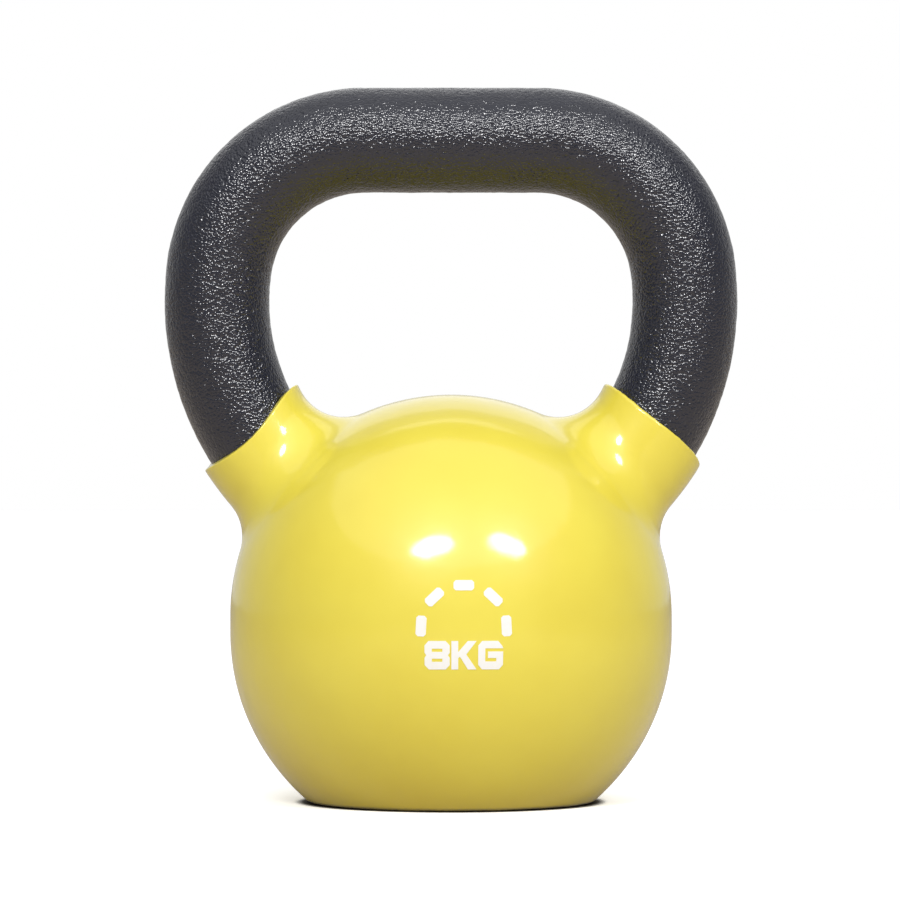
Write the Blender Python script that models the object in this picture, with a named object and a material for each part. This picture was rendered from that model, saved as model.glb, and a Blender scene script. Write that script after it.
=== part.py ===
"""Vinyl-dipped iron kettlebell of 8 kg: the design, one solid for each physical piece.

Frame: metres, +Z up, the bell's axis on Z, the flat base on Z = 0, the handle in the XZ plane, the print on
the -Y side. The object has no moving part.

Pieces, from the inside out:
  iron_casting      bell and looped handle, poured in one piece
  handle_enamel     the black enamel film on the handle
  vinyl_coat        the skin that the bell was dipped in, with a collar round each horn
  weight_*, arc_*   the printed marks in white ink
"""

import math

import bmesh
import bpy
from mathutils import Matrix, Vector

# ---- Driving dimensions, in metres and degrees -------------------------------------------------------------

# Bell, measured over the vinyl coat. Its side is two arcs of one radius with a short straight belt between.
BELL_DIAMETER = 0.1244
BELL_BELT = 0.0048
BASE_DIAMETER = 0.0802
BASE_EDGE_RADIUS = 0.0032
LEAST_EDGE_RADIUS = 0.0005

# Handle, measured over the enamel. Its centreline is a straight grip, two corner arcs and two horn arcs. The
# window is what a hand has between the bell's crown and the grip.
HANDLE_DIAMETER = 0.0298
WINDOW_HEIGHT = 0.0567
GRIP_LENGTH = 0.0485
CORNER_RADIUS = 0.0414
CORNER_TURN = 82.4
HORN_RADIUS = 0.0711

# Vinyl coat. The fillet is the one that shows where each horn meets the bell, and the collar's length is
# along the horn's middle, from the fillet to the trimmed lip.
COAT_THICKNESS = 0.0022
NECK_FILLET = 0.0135
COLLAR_LENGTH = 0.0085
COLLAR_LEAN = 10.5
COLLAR_FRONT_DIP = {"left": 8.5, "right": -5.0}

# Enamel, and how far it runs under each collar.
ENAMEL_THICKNESS = 0.0004
ENAMEL_LAP = 0.0010

# Printed marks: the weight in bold capitals, with an arc of plain bars above it. Heights are from the middle
# of the belt, along the surface.
INK_THICKNESS = 0.0003
PRINT_ACROSS = 0.0035
CHARACTER_WIDTH = 0.0068
CHARACTER_HEIGHT = 0.0077
CHARACTER_PITCH = 0.00725
CHARACTER_FOOT = -0.0102
ARC_RADIUS = 0.0116
ARC_CENTRE = 0.0009
ARC_SPREAD = 174.0
ARC_BAR_COUNT = 5
ARC_BAR_LENGTH = 0.0056
ARC_BAR_WIDTH = 0.0028
ARC_BAR_NICK = 0.0006

# Pieces that touch on the real object keep this clearance, so that their solids don't meet.
FIT_GAP = 0.0003

# ---- Fineness of the faceted solids ------------------------------------------------------------------------

BELL_SEGMENTS = 64
ARC_STEP = 6
TUBE_SEGMENTS = 28
FILLET_STEPS = 7
WALL_STEPS = 3
PRINT_CELL = 0.002
SMOOTH_UNDER = 35
MERGE_DISTANCE = 1e-6
HALVINGS = 50
TURNS = [2 * math.pi * i / TUBE_SEGMENTS for i in range(TUBE_SEGMENTS)]

# ---- Sizes that follow from the driving dimensions ---------------------------------------------------------

BELL_RADIUS = BELL_DIAMETER / 2
LOWER_CENTRE = math.sqrt(BELL_RADIUS**2 - (BASE_DIAMETER / 2) ** 2)
UPPER_CENTRE = LOWER_CENTRE + BELL_BELT
BELT_MIDDLE = (LOWER_CENTRE + UPPER_CENTRE) / 2
BELL_CENTRE = Vector((0, 0, UPPER_CENTRE))
HANDLE_RADIUS = HANDLE_DIAMETER / 2
NECK_RADIUS = HANDLE_RADIUS + FIT_GAP + COAT_THICKNESS
CASTING_INSET = COAT_THICKNESS + FIT_GAP
ENAMEL_BORE_RADIUS = HANDLE_RADIUS - ENAMEL_THICKNESS
GRIP_HEIGHT = UPPER_CENTRE + BELL_RADIUS + WINDOW_HEIGHT + HANDLE_RADIUS
TURN = math.radians(CORNER_TURN)
CORNER_CENTRE = Vector((GRIP_LENGTH / 2, 0, GRIP_HEIGHT - CORNER_RADIUS))
HORN_CENTRE = CORNER_CENTRE + (CORNER_RADIUS - HORN_RADIUS) * Vector((math.sin(TURN), 0, math.cos(TURN)))
SIDES = ("left", "right")

# Where the horns' lines are searched, as headings from the grip.
HORN_SEARCH = (math.radians(95), math.radians(175))

# How far a cutter reaches past what it cuts, how deep the handle's core ends in the bell, and how a neck's
# lower end dives into it.
OVERRUN = 0.006
CORE_DEPTH = 0.016
SKIRT_REACH = 0.003
SKIRT_SINK = 0.0009
CONE_SHARE = 0.4

# Outlines of the characters, as fractions of their width and height: the outside first, then any holes.
CHARACTERS = {
    "weight_figure_8": [
        [
            (0.16, 0), (0.84, 0), (1, 0.16), (1, 0.41), (0.93, 0.5), (1, 0.59), (1, 0.84),
            (0.84, 1), (0.16, 1), (0, 0.84), (0, 0.59), (0.07, 0.5), (0, 0.41), (0, 0.16),
        ],
        [(0.29, 0.27), (0.29, 0.38), (0.71, 0.38), (0.71, 0.27)],
        [(0.29, 0.62), (0.29, 0.73), (0.71, 0.73), (0.71, 0.62)],
    ],
    "weight_letter_k": [
        [
            (0, 0), (0.27, 0), (0.27, 0.40), (0.34, 0.45), (0.66, 0), (1, 0),
            (0.59, 0.53), (1, 1), (0.65, 1), (0.27, 0.61), (0.27, 1), (0, 1),
        ],
    ],
    "weight_letter_g": [
        [
            (0.16, 0), (0.84, 0), (1, 0.16), (1, 0.63), (0.39, 0.63), (0.39, 0.40), (0.73, 0.40),
            (0.73, 0.28), (0.28, 0.28), (0.28, 0.74), (1, 0.74), (0.98, 0.80), (0.80, 1), (0.16, 1),
            (0, 0.84), (0, 0.16),
        ],
    ],
}

# ---- Materials ---------------------------------------------------------------------------------------------

IRON = {"colour": (0.20, 0.20, 0.21), "roughness": 0.7, "metallic": 0.7}
ENAMEL = {"colour": (0.030, 0.031, 0.035), "roughness": 0.38, "metallic": 0.2}
VINYL = {"colour": (0.83, 0.66, 0.07), "roughness": 0.22, "metallic": 0.0}
INK = {"colour": (0.93, 0.93, 0.92), "roughness": 0.45, "metallic": 0.0}


def clear_scene():
    for obj in list(bpy.data.objects):
        bpy.data.objects.remove(obj, do_unlink=True)


def material(name, look):
    """A Principled material, made once and shared by name."""
    made = bpy.data.materials.get(name)
    if made is None:
        made = bpy.data.materials.new(name)
        made.use_nodes = True
        shader = made.node_tree.nodes["Principled BSDF"]
        shader.inputs["Base Color"].default_value = (*look["colour"], 1)
        shader.inputs["Roughness"].default_value = look["roughness"]
        shader.inputs["Metallic"].default_value = look["metallic"]
    return made


def add_object(name, mesh, finish=None):
    """Links the mesh as an object. With no finish it is a helper that cuts or joins others."""
    obj = bpy.data.objects.new(name, mesh)
    bpy.context.scene.collection.objects.link(obj)
    if finish is None:
        obj.hide_render = True
        obj.display_type = "WIRE"
    else:
        mesh.materials.append(finish)
    return obj


def mesh_from(shape, name):
    """Ends a bmesh as a mesh, with its round faces shaded smooth."""
    mesh = bpy.data.meshes.new(name)
    shape.to_mesh(mesh)
    shape.free()
    mesh.shade_smooth()
    mesh.set_sharp_from_angle(angle=math.radians(SMOOTH_UNDER))
    return mesh


def combine(obj, operation, others):
    """Boolean modifiers that join the others to obj, or cut them from it, in order."""
    for other in others:
        step = obj.modifiers.new(f"{operation.lower()}_{other.name}", "BOOLEAN")
        step.operation = operation
        step.solver = "EXACT"
        step.object = other


def steps(start, end, step):
    """Angles in radians from start to end, both included, about step degrees apart."""
    count = max(1, round(abs(end - start) / math.radians(step)))
    return [start + (end - start) * i / count for i in range(count + 1)]


# ---- Bell --------------------------------------------------------------------------------------------------


def bell_profile(inset):
    """(radius, height) points of the bell's side from base to crown, inset under the finished surface."""
    radius = BELL_RADIUS - inset
    edge = max(BASE_EDGE_RADIUS - inset, LEAST_EDGE_RADIUS)
    # The edge's rounding touches the base plane and the lower arc.
    edge_height = inset + edge
    edge_across = math.sqrt((radius - edge) ** 2 - (LOWER_CENTRE - edge_height) ** 2)
    meeting = -math.asin((LOWER_CENTRE - edge_height) / (radius - edge))
    points = [(0, inset)]
    for angle in steps(-math.pi / 2, meeting, 2 * ARC_STEP):
        points.append((edge_across + edge * math.cos(angle), edge_height + edge * math.sin(angle)))
    for angle in steps(meeting, 0, ARC_STEP)[1:]:
        points.append((radius * math.cos(angle), LOWER_CENTRE + radius * math.sin(angle)))
    for angle in steps(0, math.pi / 2, ARC_STEP):
        points.append((radius * math.cos(angle), UPPER_CENTRE + radius * math.sin(angle)))
    return points


def bell_mesh(name, inset):
    """The bell's profile spun round Z."""
    shape = bmesh.new()
    profile = [shape.verts.new((across, 0, height)) for across, height in bell_profile(inset)]
    profile += [shape.edges.new(pair) for pair in zip(profile, profile[1:])]
    turn = {"cent": (0, 0, 0), "axis": (0, 0, 1), "angle": 2 * math.pi}
    bmesh.ops.spin(shape, geom=profile, steps=BELL_SEGMENTS, **turn)
    bmesh.ops.remove_doubles(shape, verts=shape.verts, dist=MERGE_DISTANCE)
    bmesh.ops.recalc_face_normals(shape, faces=shape.faces)
    return mesh_from(shape, name)


# ---- Handle ------------------------------------------------------------------------------------------------


def station(heading):
    """(centre, outward normal) of the handle's +X half where its centreline has turned by the heading."""
    normal = Vector((math.sin(heading), 0, math.cos(heading)))
    if heading <= TURN:
        return CORNER_CENTRE + CORNER_RADIUS * normal, normal
    return HORN_CENTRE + HORN_RADIUS * normal, normal


def mirrored(points):
    """The same points on the handle's -X half."""
    return [Vector((-p.x, p.y, p.z)) for p in points]


def loft(shape, rings):
    """Skins the rings in order and caps both ends."""
    loops = [[shape.verts.new(point) for point in points] for points in rings]
    for low, high in zip(loops, loops[1:]):
        for i in range(len(low)):
            j = (i + 1) % len(low)
            shape.faces.new((low[i], low[j], high[j], high[i]))
    shape.faces.new(loops[0])
    shape.faces.new(loops[-1])
    bmesh.ops.recalc_face_normals(shape, faces=shape.faces)


def horn_point(turn, radius, heading):
    """The point at one turn round the horn, this far from its centreline."""
    centre, normal = station(heading)
    return centre + radius * (math.cos(turn) * normal + math.sin(turn) * Vector((0, 1, 0)))


def heading_on(plane, turn, radius):
    """The heading at which the horn's line at this turn and radius passes down through the plane."""
    point, normal = plane
    return crossing(lambda heading: (horn_point(turn, radius, heading) - point).dot(normal))


def crossing(height):
    """The heading on the horn's lower half at which a height that falls along it reaches zero."""
    low, high = HORN_SEARCH
    for _ in range(HALVINGS):
        middle = (low + high) / 2
        if height(middle) > 0:
            low = middle
        else:
            high = middle
    return (low + high) / 2


def half_handle(radius, plane):
    """Rings of the handle's +X half, from the middle of the grip to the plane.

    They are square to the handle at headings that every bar shares, and lean into the plane over the last few."""
    ends = [heading_on(plane, turn, radius) for turn in TURNS]
    headings = steps(0, TURN, ARC_STEP) + steps(TURN, HORN_SEARCH[1], ARC_STEP)[1:]
    square = [heading for heading in headings if heading < min(ends) - math.radians(ARC_STEP) / 2]
    rings = [[horn_point(turn, radius, heading) for turn in TURNS] for heading in square]
    last = square[-1]
    count = math.ceil((max(ends) - last) / math.radians(ARC_STEP))
    for i in range(1, count + 1):
        leaning = [last + (end - last) * i / count for end in ends]
        rings.append([horn_point(turn, radius, heading) for turn, heading in zip(TURNS, leaning)])
    return rings


def handle_mesh(name, radius, planes):
    """A solid bar along the whole handle, from the left plane to the right one."""
    left = half_handle(radius, planes["left"])
    right = half_handle(radius, planes["right"])
    shape = bmesh.new()
    loft(shape, [mirrored(points) for points in left[::-1]] + right)
    return mesh_from(shape, name)


# ---- Collars and necks -------------------------------------------------------------------------------------


def fillet_heading(turn):
    """The heading at which a ball of the fillet's radius, rolling down the horn, touches the bell."""
    reach = NECK_RADIUS + NECK_FILLET
    apart = BELL_RADIUS + NECK_FILLET
    return crossing(lambda heading: (horn_point(turn, reach, heading) - BELL_CENTRE).length - apart)


def collar_plane(side, depth=0.0):
    """(point, normal) of the plane that a collar on +X is trimmed on, or of one this deep under it.

    It leans outwards from square to the horn, and dips at the front by its own amount on each side."""
    centre, outward = station(fillet_heading(math.pi / 2) - COLLAR_LENGTH / HORN_RADIUS)
    along = Vector((-outward.z, 0, outward.x))
    normal = Matrix.Rotation(math.radians(COLLAR_LEAN), 3, "Y") @ along
    chord = Vector((normal.z, 0, -normal.x))
    normal = Matrix.Rotation(math.radians(COLLAR_FRONT_DIP[side]), 3, chord) @ normal
    return centre - depth * normal, normal


def neck_line(turn, inset, plane):
    """Points of a neck at one turn round the horn: down the wall, round the fillet, and into the bell."""
    radius = NECK_RADIUS - inset
    fillet = NECK_FILLET + inset
    sphere = BELL_RADIUS - inset
    last = fillet_heading(turn)
    first = min(heading_on(plane, turn, radius), last) - OVERRUN / HORN_RADIUS
    wall = [first + (last - first) * i / WALL_STEPS for i in range(WALL_STEPS + 1)]
    points = [horn_point(turn, radius, heading) for heading in wall]
    rolling = horn_point(turn, radius + fillet, last)
    to_wall = (points[-1] - rolling).normalized()
    to_bell = (BELL_CENTRE - rolling).normalized()
    axis = to_wall.cross(to_bell).normalized()
    arc = to_wall.angle(to_bell)
    for i in range(1, FILLET_STEPS + 1):
        points.append(rolling + fillet * (Matrix.Rotation(arc * i / FILLET_STEPS, 3, axis) @ to_wall))
    away = axis.cross(to_bell)
    reach = SKIRT_REACH / sphere
    points.append(BELL_CENTRE + (sphere - SKIRT_SINK) * (math.sin(reach) * away - math.cos(reach) * to_bell))
    return points


def neck_mesh(name, side, inset, plane):
    """One horn's neck with its fillet, solid, from the plane down into the bell."""
    rings = list(zip(*[neck_line(turn, inset, plane) for turn in TURNS]))
    shape = bmesh.new()
    loft(shape, rings)
    # The lower end's face becomes a cone whose point is well inside the bell.
    shape.faces.ensure_lookup_table()
    bottom = shape.faces[-1]
    apex = BELL_CENTRE.lerp(bottom.calc_center_median(), CONE_SHARE)
    bmesh.ops.poke(shape, faces=[bottom])["verts"][0].co = apex
    # What stands over the plane is cut away, and one flat face closes the cut.
    geometry = shape.verts[:] + shape.edges[:] + shape.faces[:]
    point, normal = plane
    made = bmesh.ops.bisect_plane(shape, geom=geometry, plane_co=point, plane_no=normal, clear_outer=True)
    rim = [item for item in made["geom_cut"] if isinstance(item, bmesh.types.BMEdge)]
    bmesh.ops.contextual_create(shape, geom=rim)
    if side == "left":
        bmesh.ops.scale(shape, verts=shape.verts, vec=(-1, 1, 1))
    bmesh.ops.recalc_face_normals(shape, faces=shape.faces)
    return mesh_from(shape, name)


# ---- Pieces ------------------------------------------------------------------------------------------------


def iron_casting():
    """Bell, horns and handle in one casting. The horns step down where the enamel begins."""
    bell = bell_mesh("iron_casting", CASTING_INSET)
    casting = add_object("iron_casting", bell, material("cast_iron", IRON))
    core_radius = ENAMEL_BORE_RADIUS - FIT_GAP
    end = crossing(lambda heading: (station(heading)[0] - BELL_CENTRE).length - BELL_RADIUS + CORE_DEPTH)
    centre, outward = station(end)
    buried = (centre, Vector((-outward.z, 0, outward.x)))
    core = handle_mesh("casting_handle", core_radius, {side: buried for side in SIDES})
    joined = [add_object("casting_handle", core)]
    for side in SIDES:
        name = f"casting_neck_{side}"
        under_enamel = collar_plane(side, ENAMEL_LAP + FIT_GAP)
        joined.append(add_object(name, neck_mesh(name, side, CASTING_INSET, under_enamel)))
    combine(casting, "UNION", joined)


def handle_enamel():
    """The film on the handle, from inside one collar to inside the other."""
    ends = {side: collar_plane(side, ENAMEL_LAP) for side in SIDES}
    past_ends = {side: collar_plane(side, ENAMEL_LAP + OVERRUN) for side in SIDES}
    outside = handle_mesh("handle_enamel", HANDLE_RADIUS, ends)
    film = add_object("handle_enamel", outside, material("enamel", ENAMEL))
    bore = handle_mesh("enamel_bore", ENAMEL_BORE_RADIUS, past_ends)
    combine(film, "DIFFERENCE", [add_object("enamel_bore", bore)])


def vinyl_coat():
    """The dipped skin: the bell and both necks over the coat, less the same shapes under it."""
    coat = add_object("vinyl_coat", bell_mesh("vinyl_coat", 0), material("vinyl", VINYL))
    outer = []
    inner = [add_object("coat_cavity", bell_mesh("coat_cavity", COAT_THICKNESS))]
    for side in SIDES:
        name = f"coat_neck_{side}"
        outer.append(add_object(name, neck_mesh(name, side, 0, collar_plane(side))))
        name = f"coat_cavity_neck_{side}"
        over_collar = collar_plane(side, -OVERRUN)
        inner.append(add_object(name, neck_mesh(name, side, COAT_THICKNESS, over_collar)))
    combine(coat, "UNION", outer)
    combine(coat, "DIFFERENCE", inner)


# ---- Print -------------------------------------------------------------------------------------------------


def on_bell(across, up, out):
    """The point out from the coat's front, across and up along its surface from the middle of the belt."""
    belt = max(-BELL_BELT / 2, min(BELL_BELT / 2, up))
    slope = (up - belt) / BELL_RADIUS
    turn = across / BELL_RADIUS
    radius = (BELL_RADIUS + out) * math.cos(slope)
    height = BELT_MIDDLE + belt + (BELL_RADIUS + out) * math.sin(slope)
    return Vector((radius * math.sin(turn), -radius * math.cos(turn), height))


def wrap_on_bell(shape):
    """Slices a flat shape (x across, y up, z out) into small cells and bends it round the coat."""
    for axis in (Vector((1, 0, 0)), Vector((0, 1, 0))):
        reach = [vertex.co.dot(axis) for vertex in shape.verts]
        for i in range(math.ceil(min(reach) / PRINT_CELL), math.floor(max(reach) / PRINT_CELL) + 1):
            geometry = shape.verts[:] + shape.edges[:] + shape.faces[:]
            bmesh.ops.bisect_plane(shape, geom=geometry, plane_co=i * PRINT_CELL * axis, plane_no=axis)
    for vertex in shape.verts:
        vertex.co = on_bell(vertex.co.x, vertex.co.y, FIT_GAP + vertex.co.z)


def ink_mark(name, shape):
    """Bends a flat solid round the coat, where the print is, as one printed mark."""
    bmesh.ops.translate(shape, verts=shape.verts, vec=(PRINT_ACROSS, 0, 0))
    wrap_on_bell(shape)
    add_object(name, mesh_from(shape, name), material("ink", INK))


def flat_shape(loops):
    """A flat solid of the ink's thickness inside the first loop of (x, y) points and outside the others."""
    shape = bmesh.new()
    for loop in loops:
        corners = [shape.verts.new((x, y, 0)) for x, y in loop]
        for pair in zip(corners, corners[1:] + corners[:1]):
            shape.edges.new(pair)
    bmesh.ops.triangle_fill(shape, edges=shape.edges, use_beauty=True)
    raised = bmesh.ops.extrude_face_region(shape, geom=shape.faces)["geom"]
    raised = [item for item in raised if isinstance(item, bmesh.types.BMVert)]
    bmesh.ops.translate(shape, verts=raised, vec=(0, 0, INK_THICKNESS))
    bmesh.ops.recalc_face_normals(shape, faces=shape.faces)
    return shape


def bar_loop(angle):
    """The outline of the arc's bar at this angle from upright, with its corners cut."""
    end = ARC_BAR_LENGTH / 2
    top = ARC_BAR_WIDTH / 2
    corner = [(end, top - ARC_BAR_NICK), (end - ARC_BAR_NICK, top)]
    upper = corner + [(-x, y) for x, y in corner[::-1]]
    outline = upper + [(-x, -y) for x, y in upper]
    turn = Matrix.Rotation(-angle, 2)
    return [tuple(turn @ Vector((x, y + ARC_RADIUS)) + Vector((0, ARC_CENTRE))) for x, y in outline]


def printed_marks():
    """The weight in bold capitals under an arc of plain bars."""
    for i, (name, loops) in enumerate(CHARACTERS.items()):
        left = (i - len(CHARACTERS) / 2) * CHARACTER_PITCH + (CHARACTER_PITCH - CHARACTER_WIDTH) / 2
        placed = [
            [(left + x * CHARACTER_WIDTH, CHARACTER_FOOT + y * CHARACTER_HEIGHT) for x, y in loop]
            for loop in loops
        ]
        ink_mark(name, flat_shape(placed))
    for i in range(ARC_BAR_COUNT):
        angle = math.radians(ARC_SPREAD) * (i / (ARC_BAR_COUNT - 1) - 0.5)
        ink_mark(f"arc_bar_{i + 1}", flat_shape([bar_loop(angle)]))


clear_scene()
iron_casting()
handle_enamel()
vinyl_coat()
printed_marks()
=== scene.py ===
"""A vinyl-dipped kettlebell on a pale studio floor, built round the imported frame.

Lengths are in metres, and plain angles in degrees.
"""

import math

import bpy
import bmesh
from mathutils import Matrix, Vector, noise


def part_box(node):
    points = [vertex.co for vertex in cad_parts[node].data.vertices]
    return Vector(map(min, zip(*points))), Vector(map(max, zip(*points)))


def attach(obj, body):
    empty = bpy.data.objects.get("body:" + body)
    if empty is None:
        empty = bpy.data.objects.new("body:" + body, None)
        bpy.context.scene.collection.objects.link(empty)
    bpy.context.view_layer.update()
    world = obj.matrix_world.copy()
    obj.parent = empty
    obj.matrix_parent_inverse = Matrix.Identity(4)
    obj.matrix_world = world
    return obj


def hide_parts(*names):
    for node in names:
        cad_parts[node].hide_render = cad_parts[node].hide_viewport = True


BODY = "root"
UP = Vector((0, 0, 1))

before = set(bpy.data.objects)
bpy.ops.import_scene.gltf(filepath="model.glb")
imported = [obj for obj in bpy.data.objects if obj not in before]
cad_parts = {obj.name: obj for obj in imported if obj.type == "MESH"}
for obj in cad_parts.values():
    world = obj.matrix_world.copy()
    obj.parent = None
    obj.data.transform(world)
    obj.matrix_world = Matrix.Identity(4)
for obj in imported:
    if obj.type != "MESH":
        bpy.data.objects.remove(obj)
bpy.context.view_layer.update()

# ---- Sizes, as the part has them -------------------------------------------------------------

BELL_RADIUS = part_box("vinyl_coat")[1].y
BELL_BELT = 0.0048
BASE_RADIUS = 0.0401
BASE_EDGE_RADIUS = 0.0032
LEAST_EDGE_RADIUS = 0.0005
SEAT_MARGIN = math.radians(2.5)
HANDLE_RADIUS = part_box("handle_enamel")[1].y
GRIP_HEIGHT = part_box("handle_enamel")[1].z - HANDLE_RADIUS
GRIP_LENGTH = 0.0485
CORNER_RADIUS = 0.0414
CORNER_TURN = math.radians(82.4)
HORN_RADIUS = 0.0711
COAT_THICKNESS = 0.0022
FIT_GAP = 0.0003
NECK_FILLET = 0.0135
COLLAR_LENGTH = 0.0085
COLLAR_LEAN = 10.5
COLLAR_FRONT_DIP = {"left": 8.5, "right": -5.0}
ENAMEL_LAP = 0.0010
TRIM_DROP = 0.0008
ENAMEL_BORE_RADIUS = HANDLE_RADIUS - 0.0004
SIDES = ("left", "right")
SIGN = {"left": -1, "right": 1}

LOWER_CENTRE = math.sqrt(BELL_RADIUS**2 - BASE_RADIUS**2)
UPPER_CENTRE = LOWER_CENTRE + BELL_BELT
BELT_MIDDLE = (LOWER_CENTRE + UPPER_CENTRE) / 2
BELL_CENTRE = Vector((0, 0, UPPER_CENTRE))
BELT_CENTRE = Vector((0, 0, BELT_MIDDLE))
NECK_RADIUS = HANDLE_RADIUS + FIT_GAP + COAT_THICKNESS
CORNER_CENTRE = Vector((GRIP_LENGTH / 2, 0, GRIP_HEIGHT - CORNER_RADIUS))
TURN_NORMAL = Vector((math.sin(CORNER_TURN), 0, math.cos(CORNER_TURN)))
HORN_CENTRE = CORNER_CENTRE + (CORNER_RADIUS - HORN_RADIUS) * TURN_NORMAL

# ---- Fineness of the meshes ------------------------------------------------------------------

NECK_TURNS = 176
FILLET_STEPS = 20
WALL_STEPS = 12
LIP_STEPS = 6
BELL_STEPS = 46
EDGE_STEPS = 10
BASE_STEPS = 16
GRAIN_TURNS = 180
GRAIN_SPACING = 0.00052
BORE_SPACING = 0.008
HORN_SEARCH = (math.radians(95), math.radians(175))
HALVINGS = 40
SEAT_STEPS = 3
AZIMUTH_DIGITS = 5
WELD = 2e-6

# ---- Shape details that the part leaves plain ------------------------------------------------

# The dip's trimmed edge: how far the lip stands off the handle, how round it is, and how high it
# rises over its plane. The rise is an even part, the cosine and sine parts of one, two and three
# waves round the horn from its outer side, a slow wander and a ragged cut.
LIPS = {
    "left": {
        "inner_gap": 0.0001,
        "round": 0.0005,
        "even": 0.00007,
        "waves": ((-0.00077, -0.00041), (-0.00010, 0.00047), (0.00008, -0.00078)),
        "wander": 0.00016,
        "ragged": 0.00005,
        "seed": 3.0,
    },
    "right": {
        "inner_gap": 0.0001,
        "round": 0.0010,
        "even": 0.00073,
        "waves": ((0.00003, -0.00020), (0.00017, -0.00014), (-0.00012, -0.00017)),
        "wander": 0.00020,
        "ragged": 0.00016,
        "seed": 11.0,
    },
}
LIP_WANDERS = 1.3
LIP_NICKS = 13.0
LIP_SEED_STEP = 5
LIP_ROUND_MOST = 0.45
SKIN_SAG = 0.00010
SKIN_SAG_SIZE = 0.022
SAG_FINER = 2.7
SAG_FINE_SHARE = 0.25
BASE_SEAT = 0.0010
GRAIN_DEPTH = 0.00016
GRAIN_SIZE = 0.0016
SWELL_DEPTH = 0.00014
SWELL_SIZE = 0.006
SQUARE_SHARE = 0.75


# ---- Meshes ----------------------------------------------------------------------------------


def add_piece(name, shape, look, nodes):
    """Links a bmesh as a piece of the object that stands for the CAD nodes."""
    mesh = bpy.data.meshes.new(name)
    shape.to_mesh(mesh)
    shape.free()
    mesh.shade_smooth()
    mesh.materials.append(look)
    piece = bpy.data.objects.new(name, mesh)
    bpy.context.scene.collection.objects.link(piece)
    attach(piece, BODY)
    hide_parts(*nodes)
    return piece


def crossing(height):
    """The heading on the horn's lower half at which a height that falls along it reaches zero."""
    low, high = HORN_SEARCH
    for _ in range(HALVINGS):
        middle = (low + high) / 2
        if height(middle) > 0:
            low = middle
        else:
            high = middle
    return (low + high) / 2


def station(heading):
    """(centre, outward normal) of the handle's +X half where its centreline has turned this far."""
    normal = Vector((math.sin(heading), 0, math.cos(heading)))
    if heading <= CORNER_TURN:
        return CORNER_CENTRE + CORNER_RADIUS * normal, normal
    return HORN_CENTRE + HORN_RADIUS * normal, normal


def horn_point(turn, radius, heading):
    """The point at one turn round the horn, this far from its centreline."""
    centre, normal = station(heading)
    return centre + radius * (math.cos(turn) * normal + math.sin(turn) * Vector((0, 1, 0)))


def fillet_heading(turn):
    """The heading at which a ball of the fillet's size, rolling down the horn, meets the bell."""
    reach = NECK_RADIUS + NECK_FILLET
    apart = BELL_RADIUS + NECK_FILLET

    def height(heading):
        return (horn_point(turn, reach, heading) - BELL_CENTRE).length - apart

    return crossing(height)


def collar_plane(side, depth=0.0):
    """(point, normal) of the plane that a collar on +X is trimmed on, or of one under it."""
    centre, outward = station(fillet_heading(math.pi / 2) - COLLAR_LENGTH / HORN_RADIUS)
    along = Vector((-outward.z, 0, outward.x))
    normal = Matrix.Rotation(math.radians(COLLAR_LEAN), 3, "Y") @ along
    chord = Vector((normal.z, 0, -normal.x))
    normal = Matrix.Rotation(math.radians(COLLAR_FRONT_DIP[side]), 3, chord) @ normal
    return centre - depth * normal, normal


def heading_on(plane, turn, radius, rise=0.0):
    """The heading at which the horn's line at this turn and radius falls to rise over a plane."""
    point, normal = plane

    def height(heading):
        return (horn_point(turn, radius, heading) - point).dot(normal) - rise

    return crossing(height)


# ---- Vinyl skin ------------------------------------------------------------------------------


def on_bell(direction, inset):
    """The point on the bell, inset under its surface, this way from the middle of its belt."""
    radius = BELL_RADIUS - inset
    across = math.hypot(direction.x, direction.y)
    half = BELL_BELT / 2
    if abs(direction.z) * radius <= half * across:
        return BELT_CENTRE + direction * (radius / across)
    lean = abs(direction.z) * half
    return BELT_CENTRE + direction * (lean + math.sqrt(lean**2 - half**2 + radius**2))


def seat_angle():
    """How far under the level, from the lower centre, the spun base begins."""
    touch = math.asin((LOWER_CENTRE - BASE_EDGE_RADIUS) / (BELL_RADIUS - BASE_EDGE_RADIUS))
    return touch - SEAT_MARGIN


def seat_direction(inset):
    """The slope of the cone from the middle of the belt to the ring where the spun base begins."""
    radius = BELL_RADIUS - inset
    angle = seat_angle()
    height = LOWER_CENTRE - radius * math.sin(angle) - BELT_MIDDLE
    return Vector((radius * math.cos(angle), 0, height)).normalized()


def polar_end(axis, tangent, seat):
    """The direction where the great circle from axis towards tangent leaves the bell's half."""
    ends = []
    turn = math.atan2(axis.x, -tangent.x)
    if turn > 0:
        ends.append(turn)
    # The seat ring is at a fixed height: axis.z cos + tangent.z sin = seat.z.
    reach = math.hypot(axis.z, tangent.z)
    if reach > abs(seat.z):
        middle = math.atan2(tangent.z, axis.z)
        spread = math.acos(seat.z / reach)
        ends += [angle % (2 * math.pi) for angle in (middle - spread, middle + spread)]
    angle = min(ends)
    return math.cos(angle) * axis + math.sin(angle) * tangent


def slerp(start, end, share):
    """The direction this share of the way from start to end, along their great circle."""
    angle = start.angle(end)
    mixed = math.sin((1 - share) * angle) * start + math.sin(share * angle) * end
    return mixed / math.sin(angle)


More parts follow.
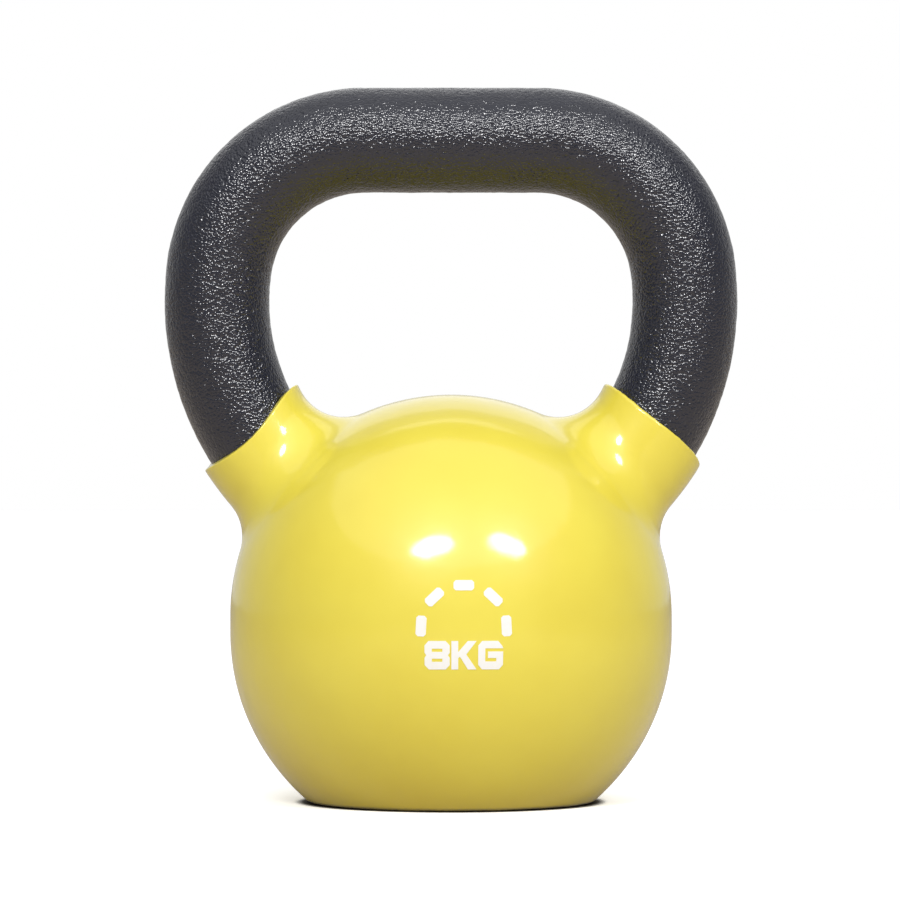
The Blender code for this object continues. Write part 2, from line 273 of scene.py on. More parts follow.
def neck_fillet(turn, inset):
    """Points round the fillet at one turn, from the neck's wall to the bell."""
    radius = NECK_RADIUS - inset
    fillet = NECK_FILLET + inset
    last = fillet_heading(turn)
    wall = horn_point(turn, radius, last)
    rolling = horn_point(turn, radius + fillet, last)
    to_wall = (wall - rolling).normalized()
    to_bell = (BELL_CENTRE - rolling).normalized()
    axis = to_wall.cross(to_bell).normalized()
    arc = to_wall.angle(to_bell)
    points = []
    for i in range(FILLET_STEPS + 1):
        turned = Matrix.Rotation(arc * i / FILLET_STEPS, 3, axis) @ to_wall
        points.append(rolling + fillet * turned)
    return points


def bell_half(contacts, inset):
    """For each contact point, points over the bell's +X half from there to its border."""
    seat = seat_direction(inset)
    starts = [(point - BELT_CENTRE).normalized() for point in contacts]
    axis = sum(starts, Vector()).normalized()
    tangents = [(start - start.dot(axis) * axis).normalized() for start in starts]
    ends = [polar_end(axis, tangent, seat) for tangent in tangents]
    # The middle plane meets the seat ring at two corners, and each takes the line nearest to it.
    for y in (-1, 1):
        corner = Vector((0, y * math.sqrt(1 - seat.z**2), seat.z))
        nearest = max(range(len(ends)), key=lambda i: ends[i].dot(corner))
        ends[nearest] = corner
    lines = []
    for start, end in zip(starts, ends):
        if abs(end.x) < WELD:
            end.x = 0
        shares = [i / BELL_STEPS for i in range(1, BELL_STEPS + 1)]
        lines.append([on_bell(slerp(start, end, share), inset) for share in shares])
    return lines


def rounded(corner, before, after, radius):
    """Points round a corner, from radius short of it on the way in to radius past it."""
    start = corner + radius * (before - corner).normalized()
    end = corner + radius * (after - corner).normalized()
    points = []
    for i in range(LIP_STEPS + 1):
        share = i / LIP_STEPS
        points.append((1 - share) ** 2 * start + 2 * share * (1 - share) * corner + share**2 * end)
    return points


def trim_rise(side, turn):
    """How far the trimmed edge stands over its plane at this turn."""
    lip = LIPS[side]
    rise = lip["even"]
    for count, (cosine, sine) in enumerate(lip["waves"], start=1):
        rise += cosine * math.cos(count * turn) + sine * math.sin(count * turn)
    ring = Vector((math.cos(turn), math.sin(turn), 0))
    rise += lip["wander"] * noise.noise(LIP_WANDERS * ring + lip["seed"] * UP)
    rise += lip["ragged"] * noise.noise(LIP_NICKS * ring + (lip["seed"] + LIP_SEED_STEP) * UP)
    return rise


def skin_line(side, turn, plane, fillet_outside, fillet_inside):
    """Points at one turn from inside the neck, over its lip and down the outside to the bell."""
    lip = LIPS[side]
    bore = HANDLE_RADIUS + lip["inner_gap"]
    rise = trim_rise(side, turn)
    top_outside = horn_point(turn, NECK_RADIUS, heading_on(plane, turn, NECK_RADIUS, rise))
    top_inside = horn_point(turn, bore, heading_on(plane, turn, bore, rise))
    wall_foot, bore_foot = fillet_outside[0], fillet_inside[0]
    radius = min(lip["round"], LIP_ROUND_MOST * (top_outside - top_inside).length)
    outer = rounded(top_outside, wall_foot, top_inside, radius)
    inner = rounded(top_inside, top_outside, bore_foot, radius / 2)
    wall = []
    start_heading = heading_on(plane, turn, NECK_RADIUS, rise - radius)
    end_heading = fillet_heading(turn)
    for i in range(1, WALL_STEPS):
        heading = start_heading + (end_heading - start_heading) * i / WALL_STEPS
        wall.append(horn_point(turn, NECK_RADIUS, heading))
    line = fillet_inside[::-2]
    line += inner[::-1]
    line += outer[::-1]
    line += wall
    line += fillet_outside
    return line


def skin_half(shape, side):
    """Adds the half of the skin with this side's neck, and returns its outer and inner border."""
    turns = [2 * math.pi * i / NECK_TURNS for i in range(NECK_TURNS)]
    plane = collar_plane(side)
    outside = [neck_fillet(turn, 0) for turn in turns]
    inside = [neck_fillet(turn, COAT_THICKNESS) for turn in turns]
    bell_outside = bell_half([points[-1] for points in outside], 0)
    bell_inside = bell_half([points[-1] for points in inside], COAT_THICKNESS)
    lines = []
    for i, turn in enumerate(turns):
        line = bell_inside[i][::-1]
        line += skin_line(side, turn, plane, outside[i], inside[i])
        line += bell_outside[i]
        lines.append([Vector((SIGN[side] * p.x, p.y, p.z)) for p in line])
    rings = [[shape.verts.new(point) for point in line] for line in lines]
    for near, far in zip(rings, rings[1:] + rings[:1]):
        for i in range(len(near) - 1):
            shape.faces.new((near[i], near[i + 1], far[i + 1], far[i]))
    return [line[-1] for line in lines], [line[0] for line in lines]


def base_profile(inset):
    """(radius, height) points from the seat ring round the base's edge to its middle."""
    radius = BELL_RADIUS - inset
    edge = max(BASE_EDGE_RADIUS - inset, LEAST_EDGE_RADIUS)
    edge_height = inset + edge
    edge_across = math.sqrt((radius - edge) ** 2 - (LOWER_CENTRE - edge_height) ** 2)
    meeting = math.asin((LOWER_CENTRE - edge_height) / (radius - edge))
    start = seat_angle()
    points = []
    for i in range(1, SEAT_STEPS + 1):
        angle = start + (meeting - start) * i / SEAT_STEPS
        points.append((radius * math.cos(angle), LOWER_CENTRE - radius * math.sin(angle)))
    for i in range(1, EDGE_STEPS + 1):
        angle = meeting + (math.pi / 2 - meeting) * i / EDGE_STEPS
        points.append((edge_across + edge * math.cos(angle), edge_height - edge * math.sin(angle)))
    for i in range(1, BASE_STEPS):
        points.append((edge_across * (1 - i / BASE_STEPS), inset))
    return points


def skin_base(shape, border, inset):
    """Closes the skin under the seat ring, with the base's own rings."""
    seat_height = min(point.z for point in border)
    ring = [point for point in border if point.z < seat_height + WELD]
    around = {round(math.atan2(point.y, point.x), AZIMUTH_DIGITS): point for point in ring}
    ring = [around[azimuth] for azimuth in sorted(around)]
    loops = [[shape.verts.new(point) for point in ring]]
    for across, height in base_profile(inset):
        loop = []
        for point in ring:
            flat = Vector((point.x, point.y, 0)).normalized()
            loop.append(shape.verts.new(across * flat + height * UP))
        loops.append(loop)
    for high, low in zip(loops, loops[1:]):
        for i in range(len(high)):
            j = (i + 1) % len(high)
            shape.faces.new((high[i], high[j], low[j], low[i]))
    centre = shape.verts.new((0, 0, inset))
    for i, vertex in enumerate(loops[-1]):
        shape.faces.new((vertex, loops[-1][(i + 1) % len(ring)], centre))


def sag(shape):
    """Lets the skin's surface wander in by a little, as a dip coat that drained and set."""
    shape.normal_update()
    moves = []
    for vertex in shape.verts:
        place = vertex.co / SKIN_SAG_SIZE
        amount = 0.5 + 0.5 * noise.noise(place) + SAG_FINE_SHARE * noise.noise(SAG_FINER * place)
        held = max(0, min(1, vertex.co.z / BASE_SEAT - 1))
        moves.append(-SKIN_SAG * max(0, amount) * held * vertex.normal)
    for vertex, move in zip(shape.verts, moves):
        vertex.co += move


def vinyl_skin():
    """The dip coat: one closed skin of two halves and a base, outside and in."""
    shape = bmesh.new()
    outer_border, inner_border = [], []
    for side in SIDES:
        outer, inner = skin_half(shape, side)
        outer_border += outer
        inner_border += inner
    skin_base(shape, outer_border, 0)
    skin_base(shape, inner_border, COAT_THICKNESS)
    bmesh.ops.remove_doubles(shape, verts=shape.verts, dist=WELD)
    bmesh.ops.recalc_face_normals(shape, faces=shape.faces)
    sag(shape)
    add_piece("vinyl_skin", shape, vinyl(), ["vinyl_coat"])


# ---- Handle ----------------------------------------------------------------------------------


def half_headings(spacing, plane, radius, turns):
    """The rings from the middle of the grip to the plane, each as its kind and where it is.

    A straight ring has a share of the way along the grip, a square one the one heading of all its
    turns, and a leaning one a heading for each turn.
    """
    ends = [heading_on(plane, turn, radius) for turn in turns]
    grip = max(1, round(GRIP_LENGTH / 2 / spacing))
    rings = [("straight", i / grip) for i in range(grip)]
    bend = max(1, round(CORNER_TURN * CORNER_RADIUS / spacing))
    rings += [("square", CORNER_TURN * i / bend) for i in range(bend)]
    horn = min(ends) - CORNER_TURN
    blend_from = CORNER_TURN + horn * SQUARE_SHARE
    steps = max(1, round(horn * HORN_RADIUS / spacing))
    square = max(1, round(steps * SQUARE_SHARE))
    for i in range(square):
        rings.append(("square", CORNER_TURN + (blend_from - CORNER_TURN) * i / square))
    leaning = max(1, round((max(ends) - blend_from) * HORN_RADIUS / spacing))
    for i in range(leaning + 1):
        rings.append(("leaning", [blend_from + (end - blend_from) * i / leaning for end in ends]))
    return rings


def handle_ring(ring, radius, turns):
    """The points of one ring of half_headings."""
    kind, value = ring
    if kind == "straight":
        back = Vector((GRIP_LENGTH / 2 * (1 - value), 0, 0))
        return [horn_point(turn, radius, 0) - back for turn in turns]
    if kind == "square":
        return [horn_point(turn, radius, value) for turn in turns]
    return [horn_point(turn, radius, heading) for turn, heading in zip(turns, value)]


def grain(point):
    """How deep the enamel's pebbled surface lies under its highest at a point."""
    pebble = noise.noise(point / GRAIN_SIZE)
    swell = noise.noise(point / SWELL_SIZE)
    return GRAIN_DEPTH * (0.5 - 0.5 * pebble) + SWELL_DEPTH * (0.5 - 0.5 * swell)


def handle_loops(spacing, radius, turns, grained):
    """Loops of points along the whole handle, from the left collar to the right one."""
    halves = {}
    for side in SIDES:
        plane = collar_plane(side, ENAMEL_LAP + TRIM_DROP)
        rings = half_headings(spacing, plane, radius, turns)
        halves[side] = [handle_ring(ring, radius, turns) for ring in rings]
    left = [[Vector((-p.x, p.y, p.z)) for p in points] for points in halves["left"][:0:-1]]
    loops = left + halves["right"]
    if not grained:
        return loops
    rough = []
    for near, points, far in zip(loops[:1] + loops, loops, loops[1:] + loops[-1:]):
        middle = sum(points, Vector()) / len(points)
        along = (sum(far, Vector()) - sum(near, Vector())).normalized()
        moved = []
        for point in points:
            out = point - middle
            out = (out - out.dot(along) * along).normalized()
            moved.append(point - grain(point) * out)
        rough.append(moved)
    return rough


def handle_finish():
    """The enamel: a pebbled outside, and a plain bore round the iron."""
    turns = [2 * math.pi * i / GRAIN_TURNS for i in range(GRAIN_TURNS)]
    loops = handle_loops(GRAIN_SPACING, HANDLE_RADIUS, turns, True)
    loops += handle_loops(BORE_SPACING, ENAMEL_BORE_RADIUS, turns, False)[::-1]
    shape = bmesh.new()
    rings = [[shape.verts.new(point) for point in points] for points in loops]
    for near, far in zip(rings, rings[1:] + rings[:1]):
        for i in range(GRAIN_TURNS):
            j = (i + 1) % GRAIN_TURNS
            shape.faces.new((near[i], near[j], far[j], far[i]))
    bmesh.ops.recalc_face_normals(shape, faces=shape.faces)
    add_piece("handle_finish", shape, enamel(), ["handle_enamel"])


# ---- Print -----------------------------------------------------------------------------------

PRINT_ACROSS = 0.0035
PRINT_SINK = 0.00012
PRINT_PROUD = 0.00003
PRINT_CELL = 0.0012
PRINT_SHARP_ANGLE = math.radians(35)
CHARACTER_WIDTH = 0.0068
CHARACTER_HEIGHT = 0.0077
CHARACTER_PITCH = 0.00725
CHARACTER_FOOT = -0.0102
ARC_RADIUS = 0.0116
ARC_CENTRE = 0.0009
ARC_SPREAD = 174.0
ARC_BAR_COUNT = 5
ARC_BAR_LENGTH = 0.0056
ARC_BAR_WIDTH = 0.0028
ARC_BAR_NICK = 0.0006
# Each character's outline and then its holes, as shares of its width and height.
CHARACTERS = {
    "weight_figure_8": [
        [
            (0.16, 0), (0.84, 0), (1, 0.16), (1, 0.41), (0.93, 0.5), (1, 0.59), (1, 0.84),
            (0.84, 1), (0.16, 1), (0, 0.84), (0, 0.59), (0.07, 0.5), (0, 0.41), (0, 0.16),
        ],
        [(0.29, 0.27), (0.29, 0.38), (0.71, 0.38), (0.71, 0.27)],
        [(0.29, 0.62), (0.29, 0.73), (0.71, 0.73), (0.71, 0.62)],
    ],
    "weight_letter_k": [
        [
            (0, 0), (0.27, 0), (0.27, 0.40), (0.34, 0.45), (0.66, 0), (1, 0),
            (0.59, 0.53), (1, 1), (0.65, 1), (0.27, 0.61), (0.27, 1), (0, 1),
        ],
    ],
    "weight_letter_g": [
        [
            (0.16, 0), (0.84, 0), (1, 0.16), (1, 0.63), (0.39, 0.63), (0.39, 0.40), (0.73, 0.40),
            (0.73, 0.28), (0.28, 0.28), (0.28, 0.74), (1, 0.74), (0.98, 0.80), (0.80, 1), (0.16, 1),
            (0, 0.84), (0, 0.16),
        ],
    ],
}


def wrapped(across, up, out):
    """The point this far across, up and out from the middle of the bell's front."""
    belt = max(-BELL_BELT / 2, min(BELL_BELT / 2, up))
    slope = (up - belt) / BELL_RADIUS
    turn = across / BELL_RADIUS
    radius = (BELL_RADIUS + out) * math.cos(slope)
    height = BELT_MIDDLE + belt + (BELL_RADIUS + out) * math.sin(slope)
    return Vector((radius * math.sin(turn), -radius * math.cos(turn), height))


def print_mark(node, loops, look):
    """One printed mark: inside the first loop of (x, y) points and outside the others."""
    shape = bmesh.new()
    for loop in loops:
        corners = [shape.verts.new((x + PRINT_ACROSS, y, -PRINT_SINK)) for x, y in loop]
        for pair in zip(corners, corners[1:] + corners[:1]):
            shape.edges.new(pair)
    bmesh.ops.triangle_fill(shape, edges=shape.edges, use_beauty=True)
    raised = bmesh.ops.extrude_face_region(shape, geom=shape.faces)["geom"]
    raised = [item for item in raised if isinstance(item, bmesh.types.BMVert)]
    bmesh.ops.translate(shape, verts=raised, vec=(0, 0, PRINT_SINK + PRINT_PROUD))
    bmesh.ops.recalc_face_normals(shape, faces=shape.faces)
    for axis in (Vector((1, 0, 0)), Vector((0, 1, 0))):
        reach = [vertex.co.dot(axis) for vertex in shape.verts]
        first, last = math.ceil(min(reach) / PRINT_CELL), math.floor(max(reach) / PRINT_CELL)
        for i in range(first, last + 1):
            geometry = shape.verts[:] + shape.edges[:] + shape.faces[:]
            place = i * PRINT_CELL * axis
            bmesh.ops.bisect_plane(shape, geom=geometry, plane_co=place, plane_no=axis)
    for vertex in shape.verts:
        vertex.co = wrapped(*vertex.co)
    piece = add_piece("print_" + node.split("_", 1)[1], shape, look, [node])
    piece.data.set_sharp_from_angle(angle=PRINT_SHARP_ANGLE)


def bar_loop(angle):
    """The outline of the arc's bar at this angle from upright, with its corners cut."""
    end = ARC_BAR_LENGTH / 2
    top = ARC_BAR_WIDTH / 2
    corner = [(end, top - ARC_BAR_NICK), (end - ARC_BAR_NICK, top)]
    upper = corner + [(-x, y) for x, y in corner[::-1]]
    outline = upper + [(-x, -y) for x, y in upper]
    turn = Matrix.Rotation(-angle, 2)
    centre = Vector((0, ARC_CENTRE))
    return [tuple(turn @ Vector((x, y + ARC_RADIUS)) + centre) for x, y in outline]


def character_loops(loops, left):
    """A character's loops at their real size, from this far across."""
    return [
        [(left + x * CHARACTER_WIDTH, CHARACTER_FOOT + y * CHARACTER_HEIGHT) for x, y in loop]
        for loop in loops
    ]


def printed_marks():
    """The weight mark, and the arc of plain bars over it."""
    look = ink()
    for i, (node, loops) in enumerate(CHARACTERS.items()):
        left = (i - len(CHARACTERS) / 2) * CHARACTER_PITCH
        left += (CHARACTER_PITCH - CHARACTER_WIDTH) / 2
        print_mark(node, character_loops(loops, left), look)
    for i in range(ARC_BAR_COUNT):
        angle = math.radians(ARC_SPREAD) * (i / (ARC_BAR_COUNT - 1) - 0.5)
        print_mark(f"arc_bar_{i + 1}", [bar_loop(angle)], look)


# ---- Materials -------------------------------------------------------------------------------

# Noise lies mostly between these, so ranges are stretched over them.
NOISE_SPREAD = (0.3, 0.7)

VINYL_DEEP = (0.71, 0.592, 0.048)
VINYL_BRIGHT = (0.74, 0.632, 0.058)
VINYL_ROUGHNESS = (0.40, 0.48)
SMEAR_SIZE = 0.008
CLOUD_SIZE = 0.035
CLOUD_EDGES = (0.35, 0.65)
SPECK = (0.12, 0.08, 0.02)
SPECK_SPACING = 0.016
SPECK_RARITY = 0.80
SPECK_EDGES = (0.014, 0.030)
DRAPE_SIZE = 0.006
DRAPE_DEPTH = 0.00006
PEEL_SIZE = 0.0011
PEEL_DEPTH = 0.000006
# Painted contact shade: a dark, patchy ring low on the vinyl's base edge, where the bell meets the
# floor.
PAINTED_FOOT_SHADE = (0.020, 0.014, 0.008)
PAINTED_FOOT_SHADE_HEIGHTS = (0.0001, 0.0010)
PAINTED_FOOT_SHADE_RADII = (0.0340, 0.0362)
PAINTED_FOOT_SHADE_PATCH_SIZE = 0.009
PAINTED_FOOT_SHADE_PATCH_EDGES = (0.3, 0.6)
PAINTED_FOOT_SHADE_LEAST = 0.6

ENAMEL_DARK = (0.002, 0.003, 0.010)
ENAMEL_LIGHT = (0.006, 0.0075, 0.019)
ENAMEL_ROUGHNESS = (0.10, 0.18)
ENAMEL_TINT_SIZE = 0.004
ENAMEL_GLOSS_SIZE = 0.0014
DOME_SPACING = 0.00078
DOME_DEPTH = 0.00023
LUMP_SIZE = 0.0016
LUMP_DEPTH = 0.00022

INK = (0.80, 0.80, 0.79)
INK_THIN = (0.76, 0.70, 0.40)
INK_THIN_SIZE = 0.0012
INK_THIN_EDGES = (0.45, 0.75)
INK_THIN_MOST = 0.12
INK_ROUGHNESS = (0.32, 0.46)
INK_GLOSS_SIZE = 0.0009
INK_FILM_SIZE = 0.0005
INK_FILM_DEPTH = 0.00001

IRON_DARK = (0.15, 0.15, 0.155)
IRON_LIGHT = (0.26, 0.255, 0.25)
IRON_ROUGHNESS = (0.55, 0.8)
IRON_TINT_SIZE = 0.003
IRON_GLOSS_SIZE = 0.001
SAND_SIZE = 0.0008
SAND_DEPTH = 0.00025

FLOOR_DARK = (0.93, 0.93, 0.93)
FLOOR_PALE = (0.96, 0.96, 0.96)
FLOOR_TINT_SIZE = 0.05
FLOOR_GLOW = 0.42
FLOOR_BOUNCE = (0.56, 0.50, 0.44, 1)
# Painted contact shadow on the floor, from ambient occlusion near the bell.
PAINTED_SHADOW_REACH = 0.0038
PAINTED_SHADOW_EDGES = (0.30, 0.70)
PAINTED_SHADOW_COLOUR = (0.03, 0.02, 0.012)


class Look:
    """A Principled material with short calls for the nodes that feed it."""

    def __init__(self, name, **values):
        self.material = bpy.data.materials.new(name)
        self.material.use_nodes = True
        self.tree = self.material.node_tree
        self.shader = self.tree.nodes["Principled BSDF"]
        for socket, value in values.items():
            self.shader.inputs[socket.replace("_", " ")].default_value = value
        self.place = self.tree.nodes.new("ShaderNodeTexCoord").outputs["Object"]

    def feed(self, socket, value):
        """Links a node's output to the socket, or sets the socket to a plain value."""
        if isinstance(value, bpy.types.NodeSocket):
            self.tree.links.new(value, socket)
        else:
            socket.default_value = value

    def node(self, kind, settings=None, **inputs):
        made = self.tree.nodes.new("ShaderNode" + kind)
        for setting, value in (settings or {}).items():
            setattr(made, setting, value)
        for name, value in inputs.items():
            self.feed(made.inputs[name.replace("_", " ")], value)
        return made

    def noise(self, size, detail=2.0, roughness=0.5):
        """Noise with features of this size in metres, from 0 to 1 about 0.5."""
        inputs = {"Vector": self.place, "Scale": 1 / size, "Detail": detail, "Roughness": roughness}
        return self.node("TexNoise", **inputs).outputs["Fac"]

    def cells(self, size, output="Distance"):
        """Of the nearest cell of this size, the distance to its middle or its own random colour."""
        return self.node("TexVoronoi", Vector=self.place, Scale=1 / size).outputs[output]

    def ranged(self, value, low, high, to_low, to_high):
        """A value from low to high stretched to run from to_low to to_high."""
        inputs = {"From_Min": low, "From_Max": high, "To_Min": to_low, "To_Max": to_high}
        return self.node("MapRange", Value=value, **inputs).outputs["Result"]

    def uneven(self, size, detail, low, high):
        """A number that wanders from low to high with features of this size."""
        return self.ranged(self.noise(size, detail), *NOISE_SPREAD, low, high)

    def maths(self, operation, first, second):
        made = self.node("Math", {"operation": operation})
        self.feed(made.inputs[0], first)
        self.feed(made.inputs[1], second)
        return made.outputs["Value"]

    def mixed(self, share, first, second):
        """The first colour turning to the second as the share goes from 0 to 1."""
        made = self.node("Mix", {"data_type": "RGBA"})
        self.feed(made.inputs[0], share)
        for socket, colour in ((made.inputs[6], first), (made.inputs[7], second)):
            self.feed(socket, (*colour, 1) if isinstance(colour, tuple) else colour)
        return made.outputs[2]

    def bump(self, height, depth, under=None):
        """Relief of this depth in metres, over the relief under it."""
        made = self.node("Bump", Height=height, Distance=depth, Strength=1.0)
        if under is not None:
            self.feed(made.inputs["Normal"], under)
        return made.outputs["Normal"]

    def set(self, socket, value):
        self.feed(self.shader.inputs[socket], value)


def painted_foot_shade(look):
    """How dark the painted shade on the vinyl is, from 0 to 1: a patchy ring round the edge that
    the bell stands on, painted where its contact shadow falls.
    """
    place = look.node("SeparateXYZ", Vector=look.place).outputs
    squares = [look.maths("POWER", place[axis], 2.0) for axis in ("X", "Y")]
    across = look.maths("POWER", look.maths("ADD", *squares), 0.5)
    low = look.ranged(place["Z"], *PAINTED_FOOT_SHADE_HEIGHTS, 1, 0)
    outer = look.ranged(across, *PAINTED_FOOT_SHADE_RADII, 0, 1)
    patchy = look.ranged(look.noise(PAINTED_FOOT_SHADE_PATCH_SIZE, 3), *PAINTED_FOOT_SHADE_PATCH_EDGES, PAINTED_FOOT_SHADE_LEAST, 1)
    return look.maths("MULTIPLY", look.maths("MULTIPLY", low, outer), patchy)


def specks(look):
    """1 on a dark speck in the vinyl and 0 off it. A few of the cells hold one."""
    dot = look.ranged(look.cells(SPECK_SPACING), *SPECK_EDGES, 1, 0)
    chance = look.node("SeparateColor", Color=look.cells(SPECK_SPACING, "Color")).outputs["Red"]
    return look.maths("MULTIPLY", dot, look.maths("GREATER_THAN", chance, SPECK_RARITY))


def vinyl():
    """Glossy dipped vinyl: even yellow with faint clouding, orange peel, a few dark specks and a
    painted shade round its foot.
    """
    look = Look("vinyl_gloss", Coat_Weight=1.0, Coat_Roughness=0.11, IOR=1.5)
    clouds = look.ranged(look.noise(CLOUD_SIZE, 3), *CLOUD_EDGES, 0, 1)
    colour = look.mixed(clouds, VINYL_DEEP, VINYL_BRIGHT)
    colour = look.mixed(specks(look), colour, SPECK)
    # The base colour darkens to a painted shade in a ring at the foot, standing in for the contact
    # shadow.
    look.set("Base Color", look.mixed(painted_foot_shade(look), colour, PAINTED_FOOT_SHADE))
    look.set("Roughness", look.uneven(SMEAR_SIZE, 4, *VINYL_ROUGHNESS))
    drape = look.bump(look.noise(DRAPE_SIZE, 1), DRAPE_DEPTH)
    look.set("Normal", look.bump(look.noise(PEEL_SIZE, 2), PEEL_DEPTH, drape))
    look.set("Coat Normal", drape)
    return look.material


def enamel():
    """Near-black pebbled enamel with a satin shine that breaks up on each grain."""
    look = Look("pebbled_enamel", IOR=1.68)
    tint = look.noise(ENAMEL_TINT_SIZE, 4, roughness=0.6)
    look.set("Base Color", look.mixed(tint, ENAMEL_DARK, ENAMEL_LIGHT))
    look.set("Roughness", look.uneven(ENAMEL_GLOSS_SIZE, 3, *ENAMEL_ROUGHNESS))
    # Each cell is a little dome, so that it throws one glint.
    domes = look.bump(look.maths("POWER", look.cells(DOME_SPACING), 2.0), -DOME_DEPTH)
    look.set("Normal", look.bump(look.noise(LUMP_SIZE, 2), LUMP_DEPTH, domes))
    return look.material


def ink():
    """White screen print, a touch thin in places."""
    look = Look("white_ink", IOR=1.5)
    thin = look.ranged(look.noise(INK_THIN_SIZE, 4), *INK_THIN_EDGES, 0, INK_THIN_MOST)
    look.set("Base Color", look.mixed(thin, INK, INK_THIN))
    look.set("Roughness", look.uneven(INK_GLOSS_SIZE, 3, *INK_ROUGHNESS))
    look.set("Normal", look.bump(look.noise(INK_FILM_SIZE, 2), INK_FILM_DEPTH))
    return look.material


def iron():
    """Grey sand-cast iron, which the enamel and the vinyl cover."""
    look = Look("sand_cast_iron", Metallic=0.85, IOR=1.5)
    look.set("Base Color", look.mixed(look.noise(IRON_TINT_SIZE, 4), IRON_DARK, IRON_LIGHT))
    look.set("Roughness", look.uneven(IRON_GLOSS_SIZE, 3, *IRON_ROUGHNESS))
    look.set("Normal", look.bump(look.noise(SAND_SIZE, 4, roughness=0.7), SAND_DEPTH))
    return look.material


def floor_paint():
    """Pale lit paint, with a painted contact shadow in its colour and glow where the bell meets it.
    It lights the object less than it shows.
    """
    look = Look("pale_floor", Roughness=0.75, IOR=1.3, Emission_Color=(1, 1, 1, 1))
    # Painted shadow: ambient occlusion near the bell darkens the floor's colour and its glow.
    clear = look.node("AmbientOcclusion", Distance=PAINTED_SHADOW_REACH).outputs["AO"]
    lit = look.ranged(clear, *PAINTED_SHADOW_EDGES, 0, 1)
    paint = look.mixed(look.noise(FLOOR_TINT_SIZE, 4), FLOOR_DARK, FLOOR_PALE)
    look.set("Base Color", look.mixed(lit, PAINTED_SHADOW_COLOUR, paint))
    look.set("Emission Strength", look.maths("MULTIPLY", lit, FLOOR_GLOW))
    dim = look.node("BsdfDiffuse", Color=FLOOR_BOUNCE)
    mix = look.node("MixShader", Fac=look.node("LightPath").outputs["Is Camera Ray"])
    look.feed(mix.inputs[1], dim.outputs["BSDF"])
    look.feed(mix.inputs[2], look.shader.outputs["BSDF"])
    look.feed(look.tree.nodes["Material Output"].inputs["Surface"], mix.outputs["Shader"])
    return look.material


# ---- Studio ----------------------------------------------------------------------------------

LENS_DISTANCE = 1.322
LENS_HEIGHT = 0.0951
SENSOR = 36.0
LENS = 187.7
SHIFT = (-0.00111, 0.015)
CLIP_END = 50
AIM = Vector((0, 0, 0.075))
SOFTBOX_DISTANCE = 1.5
# Azimuth from the camera's side towards +X and elevation in degrees, width and height in metres,
# radiance in W/sr/m2, and roll in degrees.
SOFTBOXES = {
    "key_left": (-11.3, 35.5, 0.54, 0.26, 30, 20),
    "key_right": (34, 35, 0.50, 0.28, 24, -28),
    "fill_back": (180, 30, 1.6, 0.8, 0.55, 0),
}
CEILING_LIGHT = 1.33
CEILING_SPREAD = math.radians(100)
CEILING_FROM = Vector((0, -0.25, 1))
WASH = (0.44, 0.16)
BACKDROP_FROM = 0.3
BACKDROP_GLOW = 0.28
FLOOR_REACH = 8.0
FLOOR_CELLS = 8
FLOOR_DROP = 0.0001


def camera():
    """A long lens level with the bell, as in the photograph."""
    data = bpy.data.cameras.new("camera")
    data.lens, data.sensor_width = LENS, SENSOR
    data.shift_x, data.shift_y = SHIFT
    data.clip_end = CLIP_END
    made = bpy.data.objects.new("camera", data)
    made.location = (0, -LENS_DISTANCE, LENS_HEIGHT)
    made.rotation_euler = (math.pi / 2, 0, 0)
    bpy.context.scene.collection.objects.link(made)
    bpy.context.scene.camera = made


def add_light(data, way, roll=0.0):
    """Links a light that shines from this way."""
    made = bpy.data.objects.new(data.name, data)
    aimed = way.to_track_quat("Z", "Y").to_matrix()
    made.rotation_euler = (aimed @ Matrix.Rotation(math.radians(roll), 3, "Z")).to_euler()
    bpy.context.scene.collection.objects.link(made)
    return made


def softbox(name, azimuth, elevation, width, height, radiance, roll):
    """An oval softbox aimed at the bell."""
    data = bpy.data.lights.new(name, "AREA")
    data.shape, data.size, data.size_y = "ELLIPSE", width, height
    data.energy = radiance * math.pi * (math.pi / 4 * width * height)
    turn, rise = math.radians(azimuth), math.radians(elevation)
    level = Vector((math.sin(turn), -math.cos(turn), 0))
    way = math.cos(rise) * level + math.sin(rise) * UP
    add_light(data, way, roll).location = AIM + SOFTBOX_DISTANCE * way


def ceiling():
    """Broad even light from overhead, which lights the floor alike near and far."""
    data = bpy.data.lights.new("ceiling", "SUN")
    data.energy, data.angle = CEILING_LIGHT, CEILING_SPREAD
    add_light(data, CEILING_FROM.normalized())


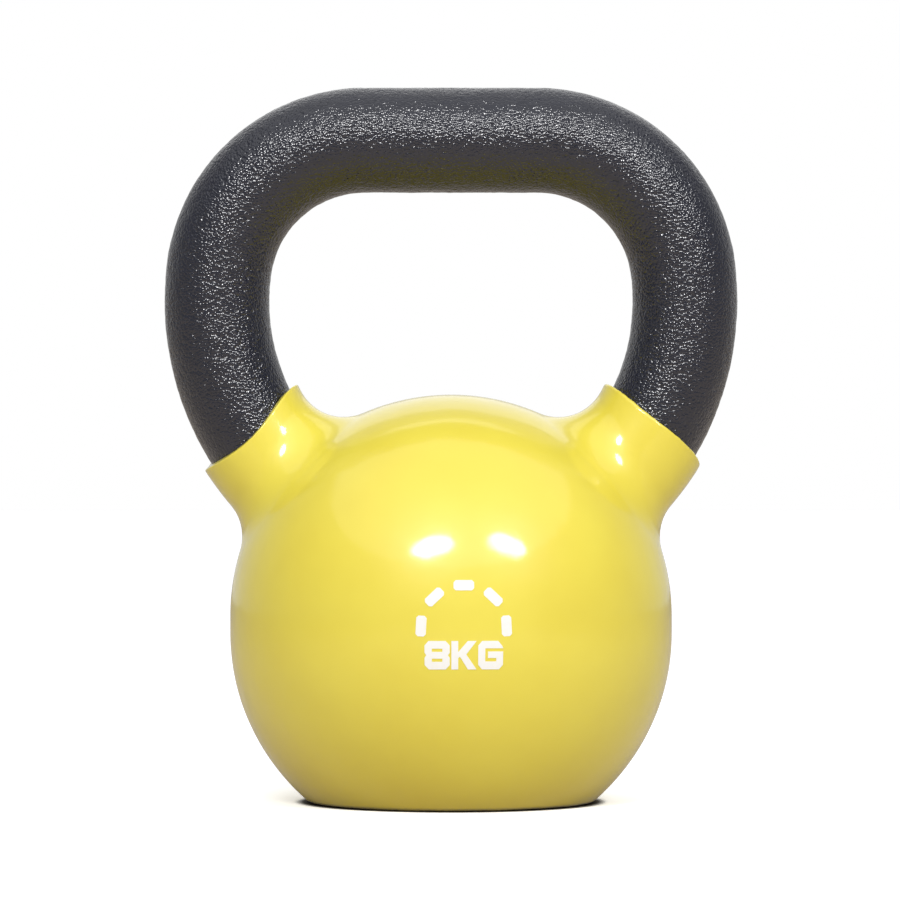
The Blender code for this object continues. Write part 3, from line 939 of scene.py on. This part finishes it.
def surround():
    """White for the camera, and for the object a wash from all round, brightest behind it."""
    world = bpy.data.worlds.new("studio")
    world.use_nodes = True
    nodes, links = world.node_tree.nodes, world.node_tree.links
    fill = nodes["Background"]
    place = nodes.new("ShaderNodeTexCoord")
    split = nodes.new("ShaderNodeSeparateXYZ")
    fade = nodes.new("ShaderNodeMapRange")
    behind = nodes.new("ShaderNodeMapRange")
    both = nodes.new("ShaderNodeMath")
    backdrop = nodes.new("ShaderNodeBackground")
    seen = nodes.new("ShaderNodeLightPath")
    mix = nodes.new("ShaderNodeMixShader")
    fill.inputs["Color"].default_value = (1, 1, 1, 1)
    backdrop.inputs["Color"].default_value = (1, 1, 1, 1)
    fade.inputs["To Min"].default_value, fade.inputs["To Max"].default_value = WASH
    behind.inputs["From Min"].default_value = BACKDROP_FROM
    behind.inputs["To Max"].default_value = BACKDROP_GLOW
    links.new(place.outputs["Generated"], split.inputs["Vector"])
    links.new(split.outputs["Z"], fade.inputs["Value"])
    links.new(split.outputs["Y"], behind.inputs["Value"])
    links.new(fade.outputs["Result"], both.inputs[0])
    links.new(behind.outputs["Result"], both.inputs[1])
    links.new(both.outputs["Value"], fill.inputs["Strength"])
    links.new(seen.outputs["Is Camera Ray"], mix.inputs["Fac"])
    links.new(fill.outputs["Background"], mix.inputs[1])
    links.new(backdrop.outputs["Background"], mix.inputs[2])
    links.new(mix.outputs["Shader"], nodes["World Output"].inputs["Surface"])
    bpy.context.scene.world = world


def floor():
    """The floor, a hair under the base so that the two never share a plane."""
    mesh = bpy.data.meshes.new("floor")
    shape = bmesh.new()
    bmesh.ops.create_grid(
        shape, x_segments=FLOOR_CELLS, y_segments=FLOOR_CELLS, size=FLOOR_REACH
    )
    shape.to_mesh(mesh)
    shape.free()
    mesh.materials.append(floor_paint())
    made = bpy.data.objects.new("floor", mesh)
    made.location.z = -FLOOR_DROP
    bpy.context.scene.collection.objects.link(made)


def studio():
    for name, numbers in SOFTBOXES.items():
        softbox(name, *numbers)
    ceiling()
    surround()
    floor()
    bpy.context.scene.view_settings.view_transform = "Standard"


def carried_over():
    """The iron keeps its CAD shape and takes a better material."""
    look = iron()
    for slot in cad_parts["iron_casting"].material_slots:
        slot.material = look


vinyl_skin()
handle_finish()
printed_marks()
carried_over()
camera()
studio()
